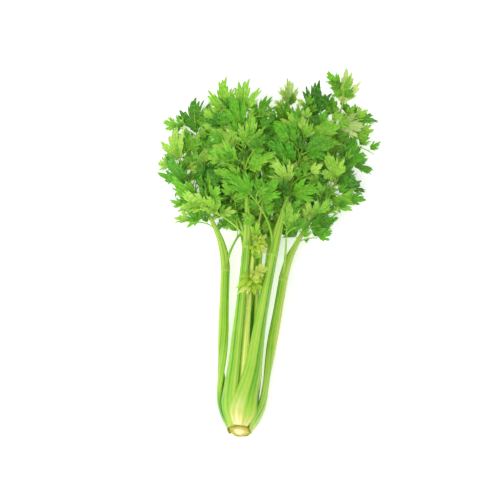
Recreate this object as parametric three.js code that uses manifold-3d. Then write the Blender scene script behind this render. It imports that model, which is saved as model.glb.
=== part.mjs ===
// A head of celery, lying on its side: a short cut stem, twelve stalks that clasp it in an
// outer ring, an inner ring and a heart, and a leafy frond above the joint of each stalk.
//
// Millimetres, +Z up. The head lies along +Y, from the cut end to the leaf tips.
// The origin is on the table, in the middle of the flat spot that the head rests on.

import * as THREE from "three";
import { mergeVertices } from "three/addons/utils/BufferGeometryUtils.js";
import Module from "manifold-3d";

const wasm = await Module();
wasm.setup();

// ---- driving dimensions ----

const axisHeight = 30.8; // the head's axis above the table
const restY = 85; // distance from the cut end to the middle of the flat spot
const ringEnd = 65; // up to here the stalks follow the round butt
const cutSlope = 0.3; // how far the cut end leans back, as a slope
const cutFade = 34; // length over which that lean dies away
const gap = 0.35; // between pieces that touch
const marginThickness = 1.5; // of a stalk's two edges
const jointSwell = 1.05; // a frond's foot against the stalk below it
const bladeThickness = 0.9; // measured square to the blade's plane
const leafFloor = 0.45; // lowest middle surface of a leaflet: the lowest ones lie on the table
const leafCeiling = 110; // highest reach of a leaflet
const tableBend = 7; // how far a leaflet may be pressed up by the table
const leafStart = 54; // no leaflet hangs lower than this above its joint

// The butt's outer radius at each distance from the cut end.
const buttRadius = curveThrough([0, 6, 13, 20, 32, 45, 65], [15.4, 17.8, 22, 25.8, 29.8, 31.7, 32.5]);

// For each ring of stalks: the distance of its apex line inside the butt's surface, its
// crescent's half width, depth and thickness along the stalk, its ribs, and its stations.
const rings = {
  outer: {
    inset: 0,
    halfWidth: curveThrough([0, 10, 22, 36, 54, 95, 160, 245], [8.5, 14.4, 18.4, 16.8, 13.4, 10, 7.6, 6.6]),
    depth: curveThrough([0, 10, 24, 50, 95, 245], [1.9, 4.2, 7.4, 8.6, 8, 6.8]),
    thickness: curveThrough([0, 10, 24, 50, 95, 245], [1.5, 2.6, 4.6, 5.8, 5.2, 4.6]),
    ribs: 5,
    ribHeight: 0.55,
    stations: [1.5, 6, 13, 22, 34, 48, 65, 95, 135, 175],
  },
  inner: {
    inset: 10.2,
    halfWidth: curveThrough([15, 30, 60, 110, 230], [5, 8.6, 7.8, 6.2, 4.8]),
    depth: curveThrough([15, 30, 60, 110, 230], [2.4, 4.4, 5.2, 5, 4.4]),
    thickness: curveThrough([15, 30, 60, 110, 230], [1.8, 3.4, 4, 3.8, 3.4]),
    ribs: 3,
    ribHeight: 0.4,
    stations: [15, 22, 32, 46, 65, 105, 145],
  },
  heart: {
    inset: 20,
    halfWidth: curveThrough([32, 50, 90, 190], [3, 4.6, 4, 3]),
    depth: curveThrough([32, 50, 90, 190], [2, 3.4, 3.6, 3]),
    thickness: curveThrough([32, 50, 90, 190], [1.6, 2.8, 3, 2.6]),
    ribs: 3,
    ribHeight: 0.25,
    stations: [32, 42, 60, 100],
  },
};

// Each stalk: its angle round the axis (90 is uppermost), how far that swings, how far the
// stalk twists about itself, how far it is tucked in under its neighbours (or stands proud),
// its width against the ring's, its slope on leaving the butt against its mean slope, its
// joint, its frond's tip, and its leaf size.
const stalks = [
  { name: "outer_front", ring: "outer", angle: 88, swing: -16, twist: 0, tuck: 0, wide: 1.02, leave: 0.3,
    joint: [17.5, 233, 60], tip: [46, 414, 86], leaf: 1 },
  { name: "outer_under", ring: "outer", angle: 284, swing: -12, twist: 0, tuck: 0.6, wide: 1, leave: 0.4,
    joint: [-2, 221, 6], tip: [4, 404, 16], leaf: 1 },
  { name: "outer_front_left", ring: "outer", angle: 140, swing: -6, twist: 0, tuck: 1.4, wide: 0.92,
    leave: 0.4, joint: [-19.5, 240, 58], tip: [-42, 406, 86], leaf: 1 },
  { name: "outer_right", ring: "outer", angle: 10, swing: -19, twist: 60, tuck: 0.4, wide: 0.9, leave: 1.1,
    joint: [36, 208, 32], tip: [94, 360, 50], leaf: 1 },
  { name: "outer_left", ring: "outer", angle: 195, swing: 0, twist: -72, tuck: -4.6, wide: 0.9, leave: 1.1,
    joint: [-44, 213, 28], tip: [-116, 348, 46], leaf: 1 },
  { name: "inner_front", ring: "inner", angle: 102, swing: 0, twist: 0, tuck: 0, wide: 0.9, leave: 0.4,
    joint: [-8.5, 161, 46], tip: [-4, 300, 76], leaf: 0.5 },
  { name: "inner_right", ring: "inner", angle: 30, swing: 0, twist: 0, tuck: 0, wide: 1, leave: 0.4,
    joint: [13, 227, 42], tip: [86, 444, 66], leaf: 0.9 },
  { name: "inner_left", ring: "inner", angle: 165, swing: 0, twist: 0, tuck: 0, wide: 1, leave: 0.4,
    joint: [-14, 231, 38], tip: [-66, 414, 62], leaf: 0.9 },
  { name: "inner_under_left", ring: "inner", angle: 236, swing: 0, twist: 0, tuck: 0, wide: 1, leave: 0.4,
    joint: [-16, 217, 20], tip: [-102, 396, 24], leaf: 0.9 },
  { name: "inner_under_right", ring: "inner", angle: 306, swing: 0, twist: 0, tuck: 0, wide: 1, leave: 0.4,
    joint: [13, 219, 19], tip: [104, 410, 26], leaf: 0.9 },
  { name: "heart_right", ring: "heart", angle: 20, swing: 0, twist: 0, tuck: 0, wide: 1, leave: 0.4,
    joint: [3, 185, 32], tip: [18, 436, 58], leaf: 0.75 },
  { name: "heart_left", ring: "heart", angle: 200, swing: 0, twist: 0, tuck: 0, wide: 1, leave: 0.4,
    joint: [-5, 175, 30], tip: [-22, 412, 50], leaf: 0.75 },
];

// A leaflet's outline: angle off its midrib in degrees, and reach against its length.
const lobePoints = [[0, 1], [10, 0.8], [16, 0.86], [23, 0.46], [33, 0.86], [46, 0.68], [68, 0.3]];

// Where a frond carries its leaflets. The side branches spring from the joint.
const frondPlan = {
  branchReach: 0.4, // of the frond's length
  branchAngle: 30,
  branchRise: 1, // a side branch always heads at least this much up the head
  footLength: 74, // over which the stalk's crescent closes to the round rachis
  onBranch: [
    { at: 0.42, side: 1, angle: 48, length: 28 },
    { at: 0.5, side: -1, angle: 48, length: 28 },
    { at: 0.7, side: 1, angle: 48, length: 32 },
    { at: 0.78, side: -1, angle: 48, length: 32 },
    { at: 0.9, side: 1, angle: 44, length: 34 },
    { at: 1, side: 0, angle: 0, length: 42 },
  ],
  onRachis: [
    { at: 0.26, side: 1, angle: 42, length: 30 },
    { at: 0.32, side: -1, angle: 42, length: 30 },
    { at: 0.42, side: 1, angle: 48, length: 36 },
    { at: 0.47, side: -1, angle: 48, length: 36 },
    { at: 0.57, side: 1, angle: 52, length: 42 },
    { at: 0.62, side: -1, angle: 52, length: 42 },
    { at: 0.72, side: 1, angle: 50, length: 44 },
    { at: 0.77, side: -1, angle: 50, length: 44 },
    { at: 0.87, side: 1, angle: 46, length: 40 },
    { at: 0.91, side: -1, angle: 46, length: 40 },
    { at: 1, side: 0, angle: 0, length: 50 },
  ],
};
const leastRise = 0.1; // how far up the head a leaflet points at least, as a share of its length
const tries = 40; // ways in which a leaflet may turn to find room
const sampleStep = 0.13; // between the points that stand for a leaflet, against its length
const bladeRoom = 0.07; // kept free round those points, against its length
const shrinks = [1, 0.82, 0.66];

// ---- small helpers ----

const point = (x, y, z) => new THREE.Vector3(x, y, z);
const mix = (a, b, t) => a + (b - a) * t;
const radians = THREE.MathUtils.degToRad;
const smoothstep = THREE.MathUtils.smoothstep;

// A smooth curve through key values: cubic between the keys, level beyond the ends.
function curveThrough(at, values) {
  const last = at.length - 1;
  const slope = (i) => {
    const [a, b] = [Math.max(i - 1, 0), Math.min(i + 1, last)];
    return (values[b] - values[a]) / (at[b] - at[a]);
  };
  return (x) => {
    if (x <= at[0]) return values[0];
    if (x >= at[last]) return values[last];
    let i = 0;
    while (x > at[i + 1]) i++;
    const span = at[i + 1] - at[i];
    return hermite(values[i], values[i + 1], slope(i), slope(i + 1), span, (x - at[i]) / span);
  };
}

function hermite(a, b, slopeA, slopeB, span, t) {
  const [t2, t3] = [t * t, t * t * t];
  const bend = slopeA * (t3 - 2 * t2 + t) + slopeB * (t3 - t2);
  return mix(a, b, 3 * t2 - 2 * t3) + span * bend;
}

// Repeatable draws from 0 to 1.
function seeded(seed) {
  let state = seed;
  return () => {
    state = (state * 1664525 + 1013904223) % 4294967296;
    return state / 4294967296;
  };
}

function solidOf(vertProperties, triVerts) {
  return new wasm.Manifold(new wasm.Mesh({ numProp: 3, vertProperties, triVerts }));
}

function solidOfPoints(points, triangles) {
  const coordinates = points.flatMap((p) => [p.x, p.y, p.z]);
  return solidOf(new Float32Array(coordinates), new Uint32Array(triangles.flat()));
}

function solidOfGeometry(geometry) {
  const bare = new THREE.BufferGeometry().setIndex(geometry.index);
  bare.setAttribute("position", geometry.getAttribute("position"));
  const merged = mergeVertices(bare, 1e-4);
  return solidOf(merged.attributes.position.array, new Uint32Array(merged.index.array));
}

// A skin over rings of points that run clockwise as seen looking along the loft, with flat
// ends cut into triangles by the outline that the first ring has in its own plane.
function loft(ringsOfPoints, outline) {
  const n = outline.length;
  const last = (ringsOfPoints.length - 1) * n;
  const triangles = [];
  for (let i = 0; i < ringsOfPoints.length - 1; i++) {
    for (let k = 0; k < n; k++) {
      const [a, b] = [i * n + k, i * n + ((k + 1) % n)];
      triangles.push([a, b, b + n], [a, b + n, a + n]);
    }
  }
  for (const [a, b, c] of THREE.ShapeUtils.triangulateShape(outline, [])) {
    const area = (outline[b].x - outline[a].x) * (outline[c].y - outline[a].y)
      - (outline[c].x - outline[a].x) * (outline[b].y - outline[a].y);
    const [p, q] = area > 0 ? [b, c] : [c, b];
    triangles.push([a, p, q], [last + a, last + q, last + p]);
  }
  return solidOfPoints(ringsOfPoints.flat(), triangles);
}

// The main body of a cut or fused solid, without scraps and slivers.
function cleaned(solid, tolerance) {
  const main = solid.decompose().reduce((best, s) => (s.volume() > best.volume() ? s : best));
  return main.asOriginal().simplify(tolerance).asOriginal().simplify(tolerance);
}

// ---- stalks ----

// The way out from the axis through a stalk, which may swing round as it rises.
const ringAngle = (stalk, y) => stalk.angle + stalk.swing * smoothstep(y, 12, 90);

function wayAt(degrees) {
  const angle = radians(degrees);
  return point(Math.cos(angle), 0, Math.sin(angle));
}

const outwards = (stalk, y) => wayAt(ringAngle(stalk, y));

// The way a stalk's back faces: outwards in the butt, and above it turned by the twist.
const facing = (stalk, y) => wayAt(ringAngle(stalk, y) + stalk.twist * smoothstep(y, 50, 150));

// The middle of a stalk's section at a distance from the cut end: on the ring up to
// ringEnd, then on a smooth curve to the joint.
function stalkCentre(stalk, y) {
  const ring = rings[stalk.ring];
  const onRing = Math.min(y, ringEnd);
  const inset = ring.inset + stalk.tuck * smoothstep(onRing, 0, ringEnd) + ring.depth(onRing) / 2;
  const p = outwards(stalk, y).multiplyScalar(buttRadius(onRing) - inset);
  p.add(point(0, y, axisHeight));
  if (y <= ringEnd) return p;
  const [jx, jy, jz] = stalk.joint;
  const span = jy - ringEnd;
  const bend = (from, to, tip) => {
    const mean = (to - from) / span;
    const endSlope = (1.5 - 0.8 * stalk.leave) * mean + (0.05 * (tip - to)) / (stalk.tip[1] - jy);
    return hermite(from, to, stalk.leave * mean, endSlope, span, (y - ringEnd) / span);
  };
  return point(bend(p.x, jx, stalk.tip[0]), y, bend(p.z, jz, stalk.tip[2]));
}

// Directions square to a line: the one nearest to a given way out, and the one sideways.
function frameAcross(along, way) {
  const out = way.clone().addScaledVector(along, -way.dot(along)).normalize();
  return { along, out, side: along.clone().cross(out) };
}

function stalkFrame(stalk, y) {
  const along = stalkCentre(stalk, y + 0.5).sub(stalkCentre(stalk, y - 0.5)).normalize();
  return frameAcross(along, facing(stalk, y));
}

// A crescent with a ribbed back: the outer half ellipse from edge to edge, then the hollow
// inner one back again. grow moves the whole outline outwards.
function crescent(stalk, y, grow = 0, scale = 1) {
  const ring = rings[stalk.ring];
  const halfWidth = ring.halfWidth(y) * stalk.wide * scale;
  const depth = ring.depth(y) * scale;
  const hollow = depth - ring.thickness(y) * scale;
  const steps = ring.ribs * 2;
  const points = [];
  for (let k = 0; k <= steps; k++) {
    const t = radians(-90 + (180 * k) / steps);
    const relief = (ring.ribHeight / 2) * Math.cos(2 * ring.ribs * t) * smoothstep(y, 12, 40);
    points.push(new THREE.Vector2(
      (halfWidth + grow + relief) * Math.sin(t),
      depth / 2 + grow + relief - (depth + 2 * grow + relief) * (1 - Math.cos(t)),
    ));
  }
  for (const degrees of [90, 45, 0, -45, -90]) {
    const t = radians(degrees);
    points.push(new THREE.Vector2(
      (halfWidth - marginThickness - grow) * Math.sin(t),
      -depth / 2 - grow + hollow * Math.cos(t),
    ));
  }
  return points;
}

function place(outline, centre, { out, side }) {
  return outline.map((p) => centre.clone().addScaledVector(side, p.x).addScaledVector(out, p.y));
}

function stalkSolid(stalk, grow = 0) {
  const stations = [...rings[stalk.ring].stations, stalk.joint[1]];
  stations[0] -= grow;
  stations[stations.length - 1] += grow;
  const sections = stations.map((y) => {
    return place(crescent(stalk, y, grow), stalkCentre(stalk, y), stalkFrame(stalk, y));
  });
  return loft(sections, crescent(stalk, stations[0], grow));
}

// ---- the short stem ----

const stemProfile = [[0, 0], [12.6, 0], [13.3, 1.6], [12.4, 6], [10, 15], [7.4, 27], [4, 38], [0, 43]];

function stemSolid(grow = 0) {
  const top = stemProfile.at(-1)[1];
  const profile = stemProfile.map(([r, y]) => {
    const end = y === 0 ? -1 : Number(y === top);
    return new THREE.Vector2(r && r + grow, y + end * grow);
  });
  return solidOfGeometry(new THREE.LatheGeometry(profile, 24).translate(0, 0, axisHeight));
}

// ---- fronds ----

function frondFrame(stalk) {
  const joint = point(...stalk.joint);
  const tip = point(...stalk.tip);
  const along = tip.clone().sub(joint).normalize();
  const way = outwards(stalk, stalk.joint[1]).multiplyScalar(0.55).add(point(0, 0, 0.85));
  return { joint, tip, along, face: frameAcross(along, way).out, length: joint.distanceTo(tip) };
}

// The frond's main rib, from the joint to the tip.
function rachisCurve(stalk) {
  const { joint, tip, length } = frondFrame(stalk);
  const start = stalkFrame(stalk, stalk.joint[1]).along;
  return new THREE.CubicBezierCurve3(
    joint,
    joint.clone().addScaledVector(start, length * 0.4),
    joint.clone().lerp(tip, 0.7).addScaledVector(outwards(stalk, stalk.joint[1]), length * 0.03),
    tip,
  );
}

// A round rib along a curve from the share `from` of it on, thinning towards its end.
function ribSolid(curve, from, radiusAt, sides, segments, face) {
  const outline = Array.from({ length: sides }, (_, k) => {
    const t = (-2 * Math.PI * k) / sides;
    return new THREE.Vector2(Math.cos(t), Math.sin(t));
  });
  const sections = Array.from({ length: segments + 1 }, (_, i) => {
    const t = mix(from, 1, i / segments);
    const round = outline.map((p) => p.clone().multiplyScalar(radiusAt(t)));
    return place(round, curve.getPoint(t), frameAcross(curve.getTangent(t), face));
  });
  return loft(sections, outline);
}

// Every piece placed so far, as balls: a new one has to keep clear of them.
const balls = [];

function claim(points, radius, owner) {
  for (const p of points) balls.push({ p, radius, owner });
}

// The balls that a piece reaching from a root could meet. Its own frond's balls beside
// the root don't count.
function ballsNear(root, reach, owner, own) {
  return balls.filter((ball) => {
    const distance = ball.p.distanceTo(root);
    return distance < reach + ball.radius && (ball.owner !== owner || distance > own);
  });
}

// The least room between points of a radius and some balls.
function room(points, radius, near) {
  let least = Infinity;
  for (const ball of near) {
    for (const p of points) least = Math.min(least, p.distanceTo(ball.p) - ball.radius - radius);
  }
  return least;
}

const jointHalfWidth = (stalk) => rings[stalk.ring].halfWidth(stalk.joint[1]);
const rachisRadius = (stalk) => (t) => mix(0.56 * jointHalfWidth(stalk), 1.1, t ** 0.75);
const footScale = (distance) => mix(1, 0.5, smoothstep(distance, 0, frondPlan.footLength));
const branchRadius = (stalk) => (t) => mix(2.1, 0.95, t) * Math.sqrt(stalk.leaf);

function turned(vector, axis, degrees) {
  return vector.clone().applyAxisAngle(axis, radians(degrees));
}

// A side branch from the joint: curves away from the rachis in the frond's plane.
function branchCurve(stalk, side, swing, lift) {
  const { joint, along, face, length } = frondFrame(stalk);
  const { along: start, side: across } = stalkFrame(stalk, stalk.joint[1]);
  const reach = length * frondPlan.branchReach;
  const away = turned(along, face, -side * (frondPlan.branchAngle + swing));
  away.y = Math.max(away.y, frondPlan.branchRise);
  away.normalize();
  const root = joint.clone().addScaledVector(start, 3)
    .addScaledVector(across, side * 0.5 * jointHalfWidth(stalk));
  const end = root.clone().addScaledVector(away, reach).addScaledVector(face, lift);
  end.z = Math.max(end.z, 5);
  return new THREE.QuadraticBezierCurve3(root, root.clone().addScaledVector(start, reach * 0.5), end);
}

// Points all over a leaflet, as shares of its length along and across.
const lobeReach = curveThrough(lobePoints.map(([d]) => d), lobePoints.map(([, r]) => r));
const bladeSamples = [[-0.13, 0], [-0.04, 0]];
for (let u = 0.08; u < 1; u += sampleStep) {
  for (let v = -6 * sampleStep; v < 0.8; v += sampleStep) {
    const degrees = THREE.MathUtils.radToDeg(Math.atan2(Math.abs(v), u));
    if (Math.hypot(u, v) < lobeReach(degrees)) bladeSamples.push([u, v]);
  }
}

// The height of a leaflet's surface over its plane: folded up along the midrib, arched
// down towards the tip, and waved round the edge.
function bladeHeight(blade, u, v) {
  const reach = Math.hypot(u, v);
  const angle = Math.atan2(v, u);
  return blade.length * (blade.fold * Math.abs(v) - blade.arch * u * Math.abs(u)
    + blade.wave * Math.sin(3.4 * angle + blade.phase) * reach * reach);
}

function bladePoint(blade, u, v) {
  const p = blade.base.clone()
    .addScaledVector(blade.along, u * blade.length)
    .addScaledVector(blade.across, v * blade.length)
    .addScaledVector(blade.face, bladeHeight(blade, u, v));
  return p;
}

// Leaflets that meet the table lie flat on it.
function onTable(p) {
  p.z = Math.max(p.z, leafFloor);
  return p;
}

// Turns a leaflet about until it finds room, at less size if it must.
function fitBlade(root, along, face, length, lowest, { owner, draw }) {
  const near = ballsNear(root, 1.4 * length, owner, 0.3 * length);
  for (const shrink of shrinks) {
    for (let k = 0; k < tries; k++) {
      const spread = Math.min(1, 0.3 + k / 12);
      const yaw = (draw() - 0.5) * 90 * spread;
      const pitch = (draw() - 0.5) * 80 * spread;
      const roll = (draw() - 0.5) * 100 * spread;
      const shape = {
        fold: 0.12 + 0.3 * draw(),
        arch: 0.05 + 0.3 * draw(),
        wave: 0.06 + 0.08 * draw(),
        phase: 2 * Math.PI * draw(),
      };
      const heading = turned(along, face, yaw);
      const across = face.clone().cross(heading).normalize();
      heading.applyAxisAngle(across, radians(pitch));
      if (heading.y < leastRise) continue;
      const normal = turned(heading.clone().cross(across), heading, roll);
      const blade = {
        root, along: heading, face: normal, across: normal.clone().cross(heading),
        length: length * shrink, ...shape,
      };
      blade.base = root.clone().addScaledVector(heading, 0.22 * blade.length);
      const samples = bladeSamples.map(([u, v]) => bladePoint(blade, u, v));
      const radius = bladeRoom * blade.length + 0.4;
      const heights = samples.map((p) => p.z);
      if (Math.min(...heights) < -tableBend || Math.max(...heights) > leafCeiling) continue;
      if (samples.some((p) => p.y < lowest) || room(samples, radius, near) < 0) continue;
      claim(samples.map(onTable), radius, owner);
      return blade;
    }
  }
  return null;
}

// A leaflet with its foot, as one thin blade: both faces share a fan from a point on the
// midrib.
function bladeSolid(blade) {
  const half = lobePoints.slice(1);
  const polar = [...half.map(([d, r]) => [-d, r]).reverse(), lobePoints[0], ...half];
  const middle = polar.map(([degrees, r]) => {
    return onTable(bladePoint(blade, r * Math.cos(radians(degrees)), r * Math.sin(radians(degrees))));
  });
  const footWidth = 1.1;
  for (const s of [1, -1]) middle.push(blade.root.clone().addScaledVector(blade.across, s * footWidth));
  middle.push(onTable(bladePoint(blade, 0.42, 0)));
  const n = middle.length - 1;
  const lift = (s) => middle.map((p) => p.clone().addScaledVector(blade.face, (s * bladeThickness) / 2));
  const triangles = [];
  for (let k = 0; k < n; k++) {
    const next = (k + 1) % n;
    triangles.push([n, k, next], [n + 1 + n, n + 1 + next, n + 1 + k]);
    triangles.push([k, n + 1 + k, n + 1 + next], [k, n + 1 + next, next]);
  }
  return solidOfPoints([...lift(1), ...lift(-1)], triangles);
}

// The frond's foot: the stalk's crescent above the joint, closing to the rachis.
function footSolid(stalk) {
  const curve = rachisCurve(stalk);
  const sections = [gap, 4, 0.6 * frondPlan.footLength, frondPlan.footLength].map((distance) => {
    const scale = distance > gap ? footScale(distance) : jointSwell;
    const t = distance / curve.getLength();
    const frame = frameAcross(curve.getTangent(t), facing(stalk, stalk.joint[1]));
    return place(crescent(stalk, stalk.joint[1], 0, scale), curve.getPoint(t), frame);
  });
  return loft(sections, crescent(stalk, stalk.joint[1], 0, jointSwell));
}

// Lays out every frond: main ribs first, then side branches, then leaflets, so that each
// finds room among what is already there.
function layOutFronds() {
  const fronds = stalks.map((stalk, owner) => ({
    stalk, owner, draw: seeded(owner * 7919 + 121), rachis: rachisCurve(stalk), branches: [], blades: [],
  }));
  for (const { stalk, owner, rachis } of fronds) {
    const ring = rings[stalk.ring];
    for (let y = 100; y <= stalk.joint[1] + 6; y += 6) {
      const { side } = stalkFrame(stalk, Math.min(y, stalk.joint[1]));
      for (const s of [-0.62, 0, 0.62]) {
        const p = stalkCentre(stalk, y).addScaledVector(side, s * ring.halfWidth(y) * stalk.wide);
        claim([p], ring.depth(y) / 2 + 1, owner);
      }
    }
    const count = Math.round(rachis.getLength() / 5);
    for (let i = 0; i <= count; i++) {
      const centre = rachis.getPoint(i / count);
      const scale = footScale(i * 5);
      const { side } = frameAcross(rachis.getTangent(i / count), facing(stalk, stalk.joint[1]));
      for (const s of i * 5 < frondPlan.footLength ? [-0.6, 0.6] : []) {
        const edge = centre.clone().addScaledVector(side, s * scale * jointHalfWidth(stalk) * stalk.wide);
        claim([edge], (scale * ring.depth(stalk.joint[1])) / 2 + 0.6, owner);
      }
      claim([centre], rachisRadius(stalk)(i / count) + 0.4, owner);
    }
  }
  for (const frond of fronds) {
    for (const side of frond.stalk.leaf < 0.8 ? [] : [1, -1]) {
      let best = null;
      for (let k = 0; k < tries; k++) {
        const curve = branchCurve(frond.stalk, side, (frond.draw() - 0.5) * 28, (frond.draw() - 0.5) * 60);
        const reach = curve.v0.distanceTo(curve.v2);
        const samples = Array.from({ length: 20 }, (_, i) => curve.getPoint((i + 1) / 20));
        const free = room(samples, 2.4, ballsNear(curve.v0, reach + 5, frond.owner, 24));
        if (!best || free > best.free) best = { curve, samples, free, side };
        if (free > 2) break;
      }
      if (best.free < 0) continue;
      claim(best.samples, 2.4, frond.owner);
      frond.branches.push(best);
    }
  }
  const hang = (frond, slot, branch) => {
    const curve = branch ? branch.curve : frond.rachis;
    const { leaf, joint } = frond.stalk;
    const tangent = curve.getTangent(Math.min(slot.at, 0.999));
    const upright = frameAcross(tangent, frondFrame(frond.stalk).face).out;
    const along = turned(tangent, upright, -slot.side * slot.angle);
    const root = curve.getPoint(slot.at).addScaledVector(tangent, slot.side ? 0 : -2);
    const blade = fitBlade(root, along, upright, slot.length * leaf, joint[1] + leafStart * leaf, frond);
    if (blade) frond.blades.push({ ...blade, branch });
  };
  for (const slot of [...frondPlan.onRachis].reverse()) {
    for (const frond of fronds) hang(frond, slot);
  }
  for (const slot of [...frondPlan.onBranch].reverse()) {
    for (const frond of fronds) {
      for (const branch of frond.branches) hang(frond, slot, branch);
    }
  }
  return fronds;
}

function frondSolid({ stalk, rachis, branches, blades }) {
  const { face } = frondFrame(stalk);
  const leafy = branches.filter((branch) => blades.some((blade) => blade.branch === branch));
  const pieces = [
    footSolid(stalk),
    ribSolid(rachis, 6 / rachis.getLength(), rachisRadius(stalk), 6, 7, face),
    ...leafy.map(({ curve }) => ribSolid(curve, 0, branchRadius(stalk), 4, 4, face)),
    ...blades.map(bladeSolid),
  ];
  return cleaned(wasm.Manifold.union(pieces), 0.2);
}

// ---- building ----

const material = (color, roughness) => new THREE.MeshStandardMaterial({ color, roughness, metalness: 0 });
const colours = {
  stem: material(0xe6d9a0, 0.8),
  outer: material(0xa3cf4f, 0.45),
  inner: material(0xc6df78, 0.45),
  heart: material(0xe2e89a, 0.45),
  outerLeaf: material(0x4f9a2b, 0.6),
  innerLeaf: material(0x66ad33, 0.6),
  heartLeaf: material(0xa9cc3a, 0.6),
};

// Leans the cut end back: the butt shears along the axis, less and less up the head.
function leanCutEnd(p) {
  p.y += cutSlope * (p.z - axisHeight) * (1 - smoothstep(p.y, 0, cutFade));
}

function meshOf(name, solid, look) {
  const { vertProperties, triVerts, numProp } = solid.getMesh();
  const positions = [];
  for (let i = 0; i < vertProperties.length; i += numProp) {
    const p = point(...vertProperties.subarray(i, i + 3));
    leanCutEnd(p);
    positions.push(p.x, p.y, p.z);
  }
  const geometry = new THREE.BufferGeometry();
  geometry.setAttribute("position", new THREE.Float32BufferAttribute(positions, 3));
  geometry.setIndex([...triVerts]);
  geometry.computeVertexNormals();
  const mesh = new THREE.Mesh(geometry, look);
  mesh.name = name;
  return mesh;
}

const head = new THREE.Group();
head.position.y = -restY;

const aboveTable = solidOfGeometry(new THREE.BoxGeometry(600, 1000, 400).translate(0, 250, 200));

head.add(meshOf("stem", stemSolid(), colours.stem));
const keepOut = [stemSolid(gap)];
for (const stalk of stalks) {
  const cut = stalkSolid(stalk).subtract(wasm.Manifold.union(keepOut)).intersect(aboveTable);
  head.add(meshOf(stalk.name + "_stalk", cleaned(cut, 0.06), colours[stalk.ring]));
  keepOut.push(stalkSolid(stalk, gap));
}
for (const frond of layOutFronds()) {
  head.add(meshOf(frond.stalk.name + "_leaf", frondSolid(frond), colours[frond.stalk.ring + "Leaf"]));
}

export default head;
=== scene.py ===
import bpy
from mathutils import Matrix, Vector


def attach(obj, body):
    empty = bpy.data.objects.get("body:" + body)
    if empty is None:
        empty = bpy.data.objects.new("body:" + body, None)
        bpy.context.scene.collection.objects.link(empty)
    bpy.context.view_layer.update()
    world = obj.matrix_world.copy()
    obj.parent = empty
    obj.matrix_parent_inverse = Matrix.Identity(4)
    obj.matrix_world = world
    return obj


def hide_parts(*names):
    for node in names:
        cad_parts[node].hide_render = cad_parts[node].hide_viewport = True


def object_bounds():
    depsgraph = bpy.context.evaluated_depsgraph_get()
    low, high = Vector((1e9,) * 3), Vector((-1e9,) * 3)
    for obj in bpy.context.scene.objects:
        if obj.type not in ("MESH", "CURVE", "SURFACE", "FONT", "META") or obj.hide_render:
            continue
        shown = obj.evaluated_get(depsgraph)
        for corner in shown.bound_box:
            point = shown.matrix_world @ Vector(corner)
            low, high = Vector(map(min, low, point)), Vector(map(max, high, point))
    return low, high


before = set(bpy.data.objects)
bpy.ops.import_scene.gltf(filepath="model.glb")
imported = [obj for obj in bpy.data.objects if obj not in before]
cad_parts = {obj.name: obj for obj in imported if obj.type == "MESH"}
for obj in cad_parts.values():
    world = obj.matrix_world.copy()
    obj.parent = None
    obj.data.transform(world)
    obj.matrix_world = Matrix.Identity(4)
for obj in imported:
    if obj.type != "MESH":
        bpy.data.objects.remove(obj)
cadBox = [list(corner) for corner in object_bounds()]

import math

import bpy
import numpy as np
from mathutils import Matrix, Vector

print("solids in the frame:", len(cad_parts))

# Lengths are millimetres until a mesh is made. y runs up the head from its cut end,
# z up from the table.


def mix(a, b, t):
    return a + (b - a) * t


def smoothstep(x, low, high):  # 0 below low, 1 above high, an S between them
    t = np.clip((x - low) / (high - low), 0, 1)
    return t * t * (3 - 2 * t)


def hermite(a, b, slopeA, slopeB, span, t):  # a cubic from a to b with these end slopes
    bend = slopeA * (t ** 3 - 2 * t ** 2 + t) + slopeB * (t ** 3 - t ** 2)
    return mix(a, b, 3 * t ** 2 - 2 * t ** 3) + span * bend


def curveThrough(at, values):  # cubic between the keys, level beyond the ends
    at, values = np.array(at, float), np.array(values, float)
    last = len(at) - 1
    before = np.maximum(np.arange(last + 1) - 1, 0)
    after = np.minimum(np.arange(last + 1) + 1, last)
    slope = (values[after] - values[before]) / (at[after] - at[before])

    def read(x):
        x = np.clip(x, at[0], at[-1])
        i = np.clip(np.searchsorted(at, x) - 1, 0, last - 1)
        span = at[i + 1] - at[i]
        return hermite(values[i], values[i + 1], slope[i], slope[i + 1], span, (x - at[i]) / span)

    return read


def unit(v):
    return v / np.linalg.norm(v, axis=-1, keepdims=True)


def dot(a, b):
    return np.sum(a * b, axis=-1, keepdims=True)


def frameAcross(along, way):  # directions square to a line: nearest to a given way, and sideways
    out = unit(way - along * dot(way, along))
    return out, np.cross(along, out)


def turned(v, axis, degrees):
    angle = math.radians(degrees)
    c, s = math.cos(angle), math.sin(angle)
    return v * c + np.cross(axis, v) * s + axis * np.dot(axis, v) * (1 - c)


def seededDraws(seed):
    state = seed

    def draw():
        nonlocal state
        state = (state * 1664525 + 1013904223) % 4294967296
        return state / 4294967296

    return draw


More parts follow.
